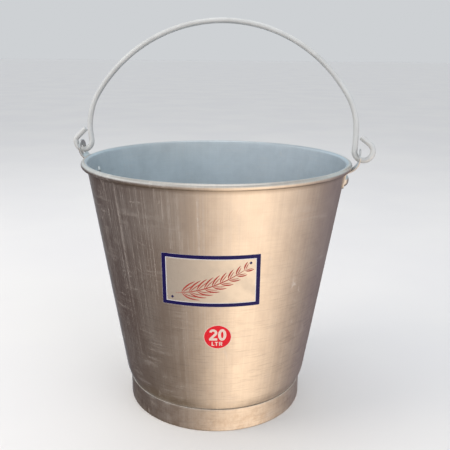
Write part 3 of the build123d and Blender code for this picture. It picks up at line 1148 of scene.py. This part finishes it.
letter_l = [(0.0, 0.0), (4.2, 0.0), (4.2, 1.4), (1.6, 1.4), (1.6, 7.0), (0.0, 7.0)]
letter_t = [
    (1.7, 0.0), (3.3, 0.0), (3.3, 5.6), (5.0, 5.6), (5.0, 7.0), (0.0, 7.0), (0.0, 5.6), (1.7, 5.6),
]


def at(loop, x, y, scale):
    """A loop moved and scaled, in metres."""
    return [((x + scale * u) * mm, (y + scale * v) * mm) for u, v in loop]


def divided(loop, step):
    """A loop with its long edges divided, so that it bends with the wall."""
    points = []
    for a, b in zip(loop, loop[1:] + loop[:1]):
        count = max(1, ceil(dist(a, b) / step))
        points += [tuple(p + (q - p) * k / count for p, q in zip(a, b)) for k in range(count)]
    return points


zero_middle = (5.5 * mm, 3.0 * mm)
letter_base = -12.2
letter_scale = 0.78
marks = {
    "figure_two": [at(figure_two(), -10.1, -4.9, 1.0)],
    "figure_zero": [
        ellipse(zero_middle, 4.95 * mm, 8.1 * mm, 44),
        ellipse(zero_middle, 1.45 * mm, 4.7 * mm, 28, hole=True),
    ],
    "letter_l": [at(letter_l, -7.0, letter_base, letter_scale)],
    "letter_t": [at(letter_t, -3.2, letter_base, letter_scale)],
    "letter_r": [at(loop, 1.9, letter_base, letter_scale) for loop in letter_r()],
}
for name, loops in marks.items():
    print_layer(
        "sticker_" + name, [divided(loop, 1.2 * mm) for loop in loops], figure_layer, 1.5 * mm,
        sticker_place, cream_finish, "sticker_red",
    )


# ---- floor, light and camera ----
def pale_floor():
    """A large plain pale floor."""
    f = Finish("pale_floor", Roughness=0.65)
    tone = f.noise(f.place, 2.5, 3.0)
    f.drive("Base Color", f.mix(f.ramp(tone, 0.3, 0.7), (0.74, 0.74, 0.75), (0.77, 0.77, 0.77)))
    size = 40.0
    floor = mesh_object(
        "floor", [(-size, -size, 0.0), (size, -size, 0.0), (size, size, 0.0), (-size, size, 0.0)],
        [[0, 1, 2, 3]], [f.material],
    )
    floor.visible_glossy = False
    return floor


floor = pale_floor()

view_turn = radians(11.5)
view_pitch = radians(15.37)
view_roll = radians(0.385)
view_distance = 0.8188
view_height = 0.4660

forward = Vector(
    (
        -sin(view_turn) * cos(view_pitch),
        cos(view_turn) * cos(view_pitch),
        -sin(view_pitch),
    )
)
level_right = Vector((cos(view_turn), sin(view_turn), 0.0))
level_up = level_right.cross(forward)
right = level_right * cos(view_roll) + level_up * sin(view_roll)
up = level_up * cos(view_roll) - level_right * sin(view_roll)
camera = linked("camera", bpy.data.cameras.new("camera"))
camera.matrix_world = Matrix(
    (
        (right.x, up.x, -forward.x, view_distance * sin(view_turn)),
        (right.y, up.y, -forward.y, -view_distance * cos(view_turn)),
        (right.z, up.z, -forward.z, view_height),
        (0.0, 0.0, 0.0, 1.0),
    )
)
camera.data.sensor_width = 36.0
camera.data.lens = 49.98
camera.data.shift_x = 0.0199
camera.data.clip_start = 0.01
bpy.context.scene.camera = camera


def way_from_camera(turn):
    """A level direction this many degrees to the right of the camera's side of the pail."""
    a = radians(turn) + view_turn
    return Vector((sin(a), -cos(a), 0.0))


def soft_light(name, turn, elevation, distance, size, colour, power, aim=(0.0, 0.0, 0.17)):
    """A rectangular soft light that lights matt surfaces; the metal mirrors the studio's walls."""
    e = radians(elevation)
    away = way_from_camera(turn) * cos(e) + Vector((0.0, 0.0, sin(e)))
    data = bpy.data.lights.new(name, "AREA")
    data.shape = "RECTANGLE"
    data.size, data.size_y = size
    data.color = colour
    data.energy = power
    light = linked(name, data)
    light.location = Vector(aim) + away * distance
    light.rotation_mode = "QUATERNION"
    light.rotation_quaternion = (-away).to_track_quat("-Z", "Y")
    light.visible_glossy = False
    return light


soft_light("right_key", 40.0, 38.0, 1.9, (1.3, 1.3), (0.98, 0.97, 1.0), 8.0)
soft_light("left_fill", -75.0, 35.0, 1.9, (1.0, 1.0), (1.0, 0.90, 0.80), 14.0)
soft_light("cool_top", -150.0, 70.0, 1.9, (1.8, 1.8), (0.93, 0.97, 1.0), 9.0)


# ---- studio surround: plain for the camera, soft coloured walls for the light ----
class Surround(Finish):
    """The world's nodes, with the same short calls as a material's."""

    def __init__(self, name):
        self.world = bpy.data.worlds.new(name)
        self.world.use_nodes = True
        self.tree = self.world.node_tree
        self.shader = self.tree.nodes["Background"]
        self.place = self.tree.nodes.new("ShaderNodeTexCoord").outputs["Generated"]
        self.parts = self.split(self.place)

    def facing(self, turn, power):
        """1 towards a level direction and 0 away from it, narrower with a higher power."""
        facing = self.dot(self.level_way(), way_from_camera(turn))
        return self.math("POWER", self.math("MULTIPLY_ADD", facing, 0.5, 0.5), power)


w = Surround("studio")
bpy.context.scene.world = w.world
rise = w.parts[2]

# below the level: each glow by its turn from the camera, how narrow it is, and its colour
low_walls = w.mix(w.facing(40.0, 1.8), (0.090, 0.068, 0.068), (0.46, 0.37, 0.32))
for turn, narrow, colour in (
    (132.0, 14.0, (0.20, 0.165, 0.185)),
    (36.0, 7.0, (1.56, 1.27, 0.99)),
    (-168.0, 80.0, (0.55, 0.64, 0.74)),
):
    low_walls = w.mix(w.facing(turn, narrow), low_walls, colour)
upper = w.ramp(rise, -0.72, -0.50, 0.0, 0.15)
for turn, narrow, colour in ((-40.0, 6.0, (0.56, 0.48, 0.43)), (95.0, 8.0, (0.62, 0.56, 0.56))):
    low_walls = w.mix(w.times(w.facing(turn, narrow), upper), low_walls, colour)
low_walls = w.mix(w.ramp(rise, -0.80, -0.56, 0.14, 0.0), low_walls, (0.36, 0.28, 0.06))

# above the level: pale walls, a shaded band and a bright ceiling
high_walls = w.mix(w.facing(-70.0, 2.0), (0.55, 0.68, 0.76), (0.92, 1.02, 1.10))
shaded_walls = w.mix(w.facing(20.0, 2.0), (0.50, 0.54, 0.57), (0.38, 0.36, 0.35))
walls = w.mix(w.ramp(rise, -0.05, 0.20), low_walls, high_walls)
walls = w.mix(w.ramp(rise, 0.52, 0.72), walls, shaded_walls)
walls = w.mix(w.ramp(rise, 0.82, 0.99), walls, (1.25, 1.35, 1.42))
ray = w.node("ShaderNodeLightPath", {}).outputs
backdrop = w.mix(ray["Is Camera Ray"], (0.80, 0.80, 0.81), (0.617, 0.637, 0.658))
w.tree.links.new(w.mix(ray["Is Glossy Ray"], backdrop, walls), w.shader.inputs["Color"])

bpy.context.scene.view_settings.view_transform = "Standard"
